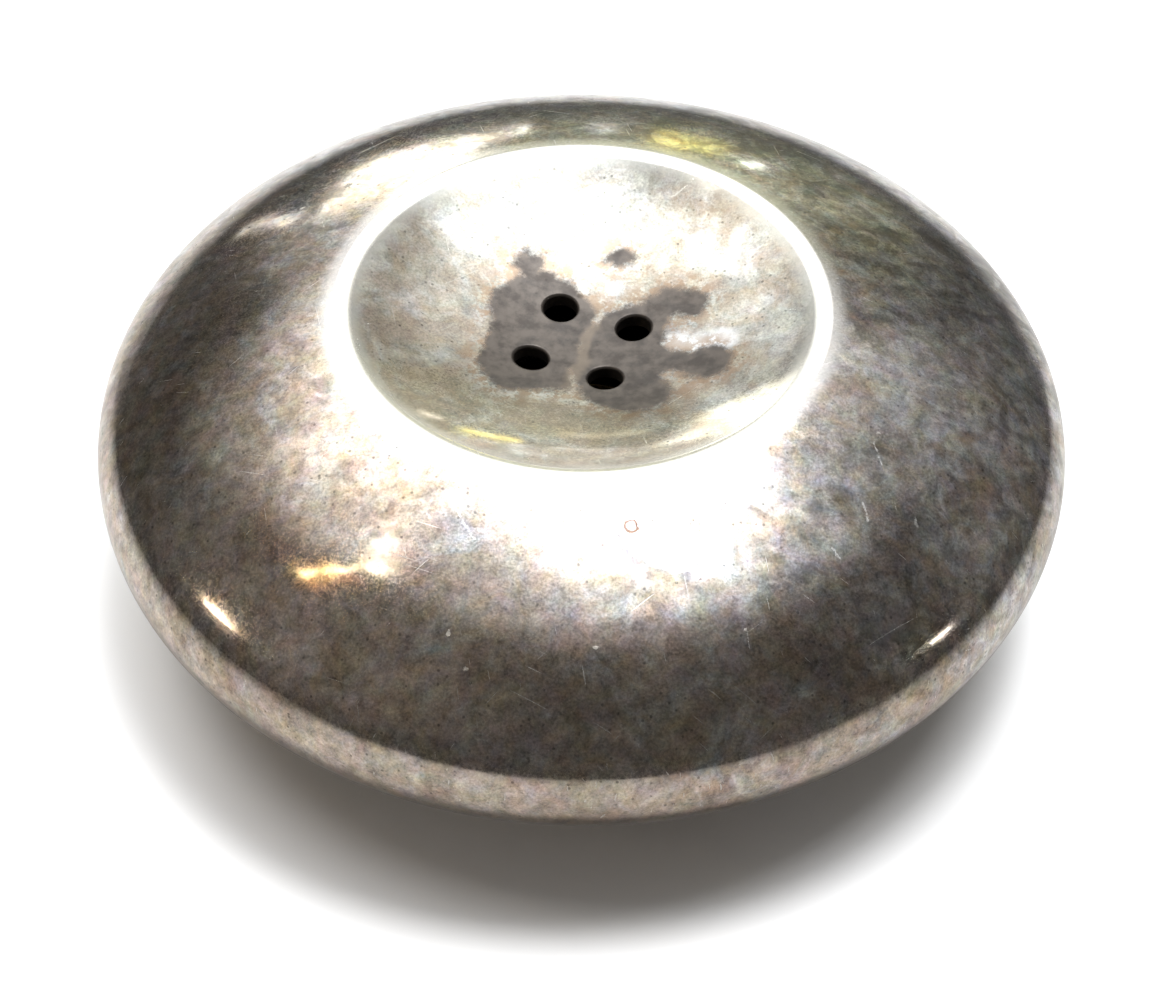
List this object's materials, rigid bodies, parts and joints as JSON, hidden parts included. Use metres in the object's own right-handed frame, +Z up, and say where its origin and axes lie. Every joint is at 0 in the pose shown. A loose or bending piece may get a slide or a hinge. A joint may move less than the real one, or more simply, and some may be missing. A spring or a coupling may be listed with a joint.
{
  "type": "salt shaker",
  "caption": "Squat lens-shaped silver-plated salt shaker, with pouring holes in a dished top inside a rounded crest, and a threaded filler plug in a well under the base.",
  "frame": {"origin": "centre of the foot ring's flat underside, on the shaker's axis", "axes": "+Z up along the shaker's axis; +X along the plug's turn bar; the viewer of the picture stands towards -Y"},
  "size_m": [0.057, 0.057, 0.0206],
  "materials": {
    "silver_plate": "old polished silver plate, lightly tarnished, with fine scratches and brown salt stains",
    "bare_brass": "turned and unplated, dulled",
    "cork": "cork washer, compressed"
  },
  "bodies": {
    "shaker_body": {"top_shell": "silver_plate", "base_shell": "silver_plate", "seam_band": "bare_brass", "foot_ring": "silver_plate", "filler_collar": "bare_brass"},
    "washer": {"plug_gasket": "cork"},
    "screw_plug": {"plug_disc": "silver_plate", "plug_sleeve": "bare_brass", "turn_bar": "silver_plate"}
  },
  "joints": [
    {"name": "washer_travel", "type": "slide", "parent": "shaker_body", "child": "washer", "axis": [0, 0, -1], "range_m": [0, 0.009]},
    {"name": "plug_turn", "type": "hinge", "parent": "washer", "child": "screw_plug", "pos_m": [0, 0, 0.0026], "axis": [0, 0, -1], "range_deg": [0, 2160]}
  ],
  "couplings": [
    {"joint": "washer_travel", "follows": "plug_turn", "m_per_rad": 0.00023873}
  ]
}
